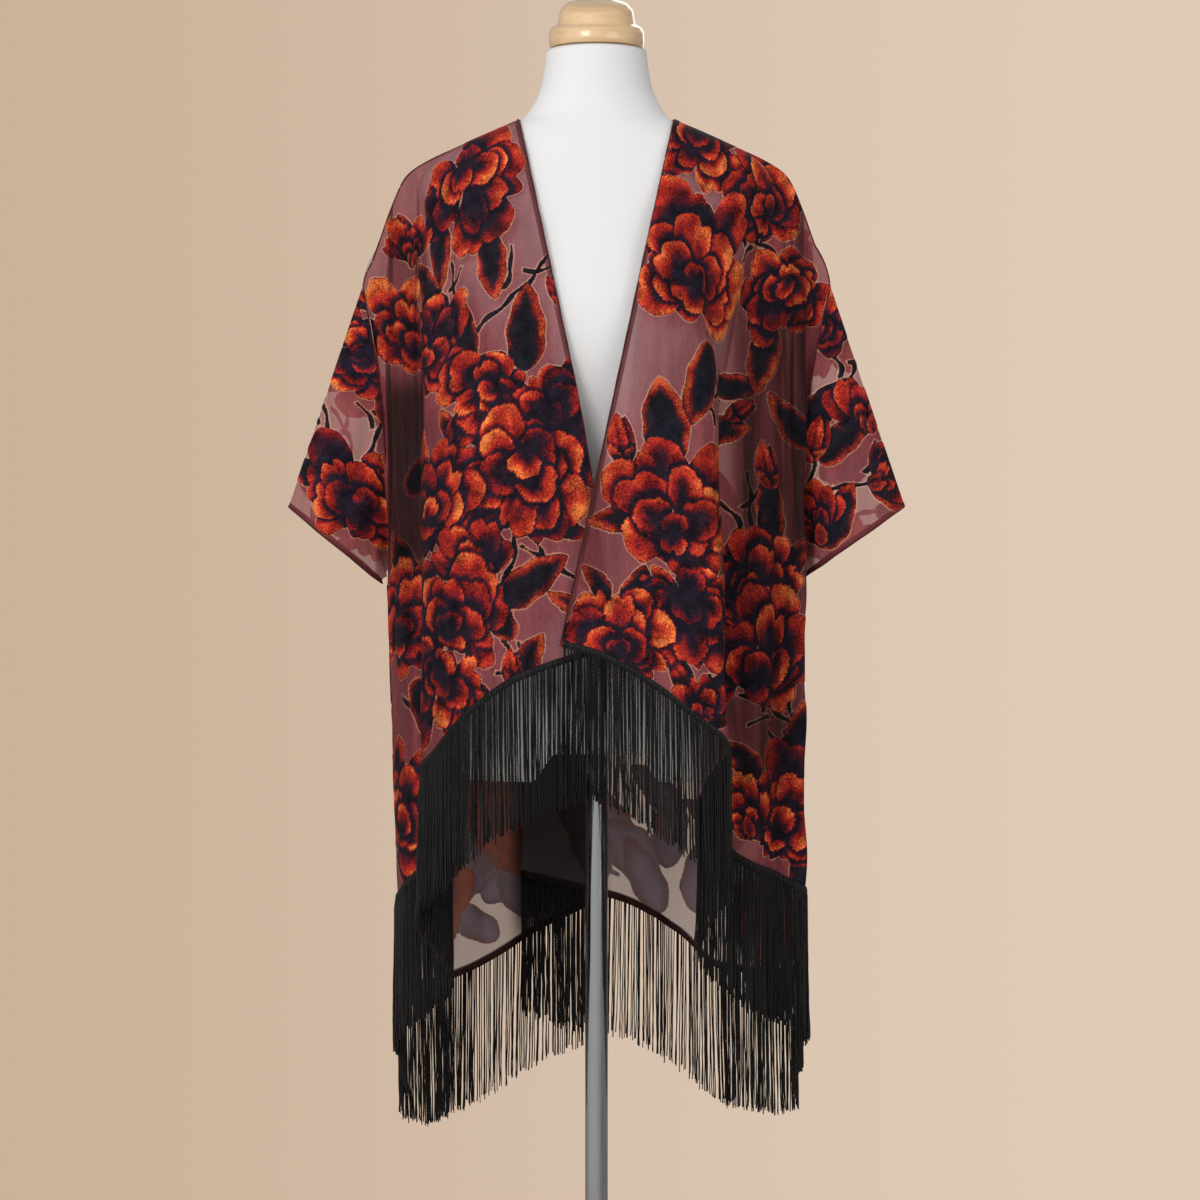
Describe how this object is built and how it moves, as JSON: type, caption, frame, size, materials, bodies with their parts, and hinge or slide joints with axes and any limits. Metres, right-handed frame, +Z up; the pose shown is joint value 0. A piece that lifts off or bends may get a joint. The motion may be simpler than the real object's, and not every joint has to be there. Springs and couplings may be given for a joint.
{
  "type": "short kimono on a dress form",
  "caption": "Short open kimono of floral burnout velvet with long black fringe, worn on a limbless dress form with a wooden neck cap, a steel pole and a round base.",
  "frame": {"origin": "centre of the underside of the round base, on the floor", "axes": "+Z up along the pole, the garment's open front faces -Y, +X is to the right of someone who looks at the front"},
  "size_m": [0.6782, 0.3057, 1.5317],
  "materials": {
    "burnout_velvet": "velvet pile flowers in orange, red and black on a sheer maroon ground",
    "fringe_yarn": "glossy black chainette yarn with a narrow braided header",
    "form_cover": "off-white woven cover stretched over the form",
    "maple": "turned light maple, clear gloss lacquer",
    "pole_steel": "polished steel tube",
    "base_steel": "round steel plate, satin"
  },
  "bodies": {
    "root": {"kimono_front_under": "burnout_velvet", "kimono_front_over": "burnout_velvet", "kimono_back": "burnout_velvet", "kimono_sleeve_right": "burnout_velvet", "kimono_sleeve_left": "burnout_velvet", "fringe_front_under": "fringe_yarn", "fringe_front_over": "fringe_yarn", "fringe_back": "fringe_yarn", "form_body": "form_cover", "form_neck_cap": "maple", "stand_pole": "pole_steel", "stand_base": "base_steel"}
  },
  "joints": []
}
